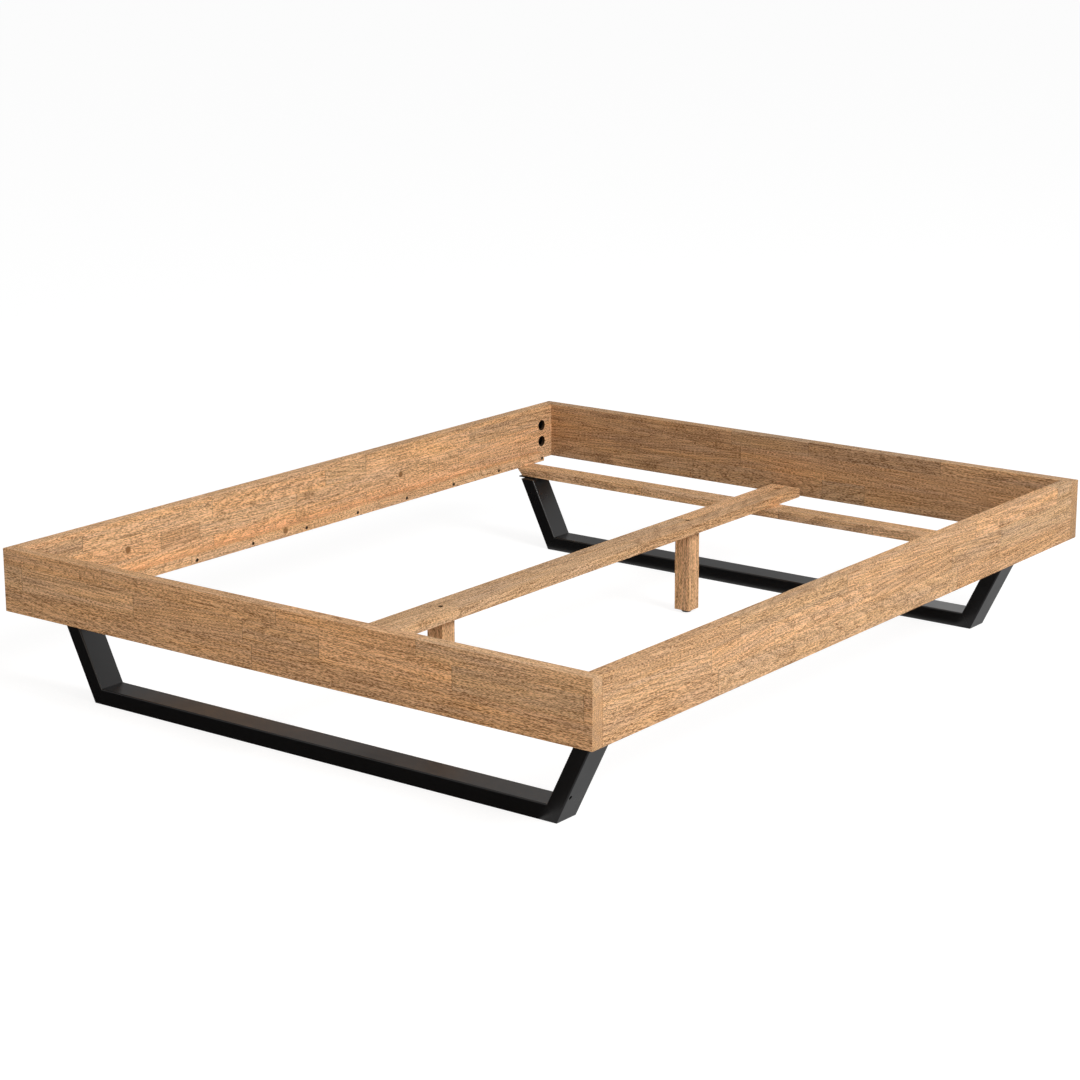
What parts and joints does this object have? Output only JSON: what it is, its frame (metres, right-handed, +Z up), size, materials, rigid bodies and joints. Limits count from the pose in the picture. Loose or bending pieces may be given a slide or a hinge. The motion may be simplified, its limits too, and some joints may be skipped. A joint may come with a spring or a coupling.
{
  "type": "double bed frame",
  "caption": "Low solid-oak bed frame for a 160 by 200 cm mattress on black steel skids, with slat ledges, a centre beam and posts on levelling feet.",
  "frame": {"origin": "middle of the bed on the floor", "axes": "+Z up, +Y to the head end, +X to the right-hand side rail"},
  "size_m": [1.668, 2.078, 0.367],
  "materials": {
    "oak": "oiled solid oak of glued staves",
    "black_steel": "satin black powder coat",
    "dark_screw": "black phosphate",
    "zinc_steel": "bright zinc plate",
    "beech_dowel": "raw fluted beech",
    "foot_plastic": "moulded, matte"
  },
  "bodies": {
    "bed": {"bar_screws_foot": "dark_screw", "bar_screws_head": "dark_screw", "beam_screws": "dark_screw", "centre_beam": "oak", "corner_dowels_foot": "beech_dowel", "corner_dowels_head": "beech_dowel", "corner_nuts_foot": "zinc_steel", "corner_nuts_head": "zinc_steel", "corner_studs_foot": "zinc_steel", "corner_studs_head": "zinc_steel", "corner_washers_foot": "zinc_steel", "corner_washers_head": "zinc_steel", "cross_bar_foot": "oak", "cross_bar_head": "oak", "foot_panel": "oak", "head_panel": "oak", "ledge_screws_left": "dark_screw", "ledge_screws_right": "dark_screw", "panel_inserts_foot": "zinc_steel", "panel_inserts_head": "zinc_steel", "plate_screws_foot": "dark_screw", "plate_screws_head": "dark_screw", "post_insert_foot": "zinc_steel", "post_insert_head": "zinc_steel", "post_screws": "dark_screw", "side_rail_left": "oak", "side_rail_right": "oak", "skid_bar_foot": "black_steel", "skid_bar_head": "black_steel", "skid_leg_foot_left": "black_steel", "skid_leg_foot_right": "black_steel", "skid_leg_head_left": "black_steel", "skid_leg_head_right": "black_steel", "skid_plate_foot_left": "black_steel", "skid_plate_foot_right": "black_steel", "skid_plate_head_left": "black_steel", "skid_plate_head_right": "black_steel", "slat_ledge_left": "oak", "slat_ledge_right": "oak", "support_post_foot": "oak", "support_post_head": "oak"},
    "foot_base_head": {"levelling_base_head": "foot_plastic"},
    "foot_stud_head": {"levelling_stud_head": "zinc_steel"},
    "foot_base_foot": {"levelling_base_foot": "foot_plastic"},
    "foot_stud_foot": {"levelling_stud_foot": "zinc_steel"}
  },
  "joints": [
    {"name": "foot_height_head", "type": "slide", "parent": "bed", "child": "foot_base_head", "axis": [0, 0, -1], "range_m": [-0.0018, 0.012]},
    {"name": "foot_screw_head", "type": "hinge", "parent": "foot_base_head", "child": "foot_stud_head", "pos_m": [0, 0.52, 0.02], "axis": [0, 0, -1], "range_deg": [-520, 3460]},
    {"name": "foot_height_foot", "type": "slide", "parent": "bed", "child": "foot_base_foot", "axis": [0, 0, -1], "range_m": [-0.0018, 0.012]},
    {"name": "foot_screw_foot", "type": "hinge", "parent": "foot_base_foot", "child": "foot_stud_foot", "pos_m": [0, -0.48, 0.02], "axis": [0, 0, -1], "range_deg": [-520, 3460]}
  ],
  "couplings": [
    {"joint": "foot_screw_head", "follows": "foot_height_head", "rad_per_m": 5026.5},
    {"joint": "foot_screw_foot", "follows": "foot_height_foot", "rad_per_m": 5026.5}
  ]
}
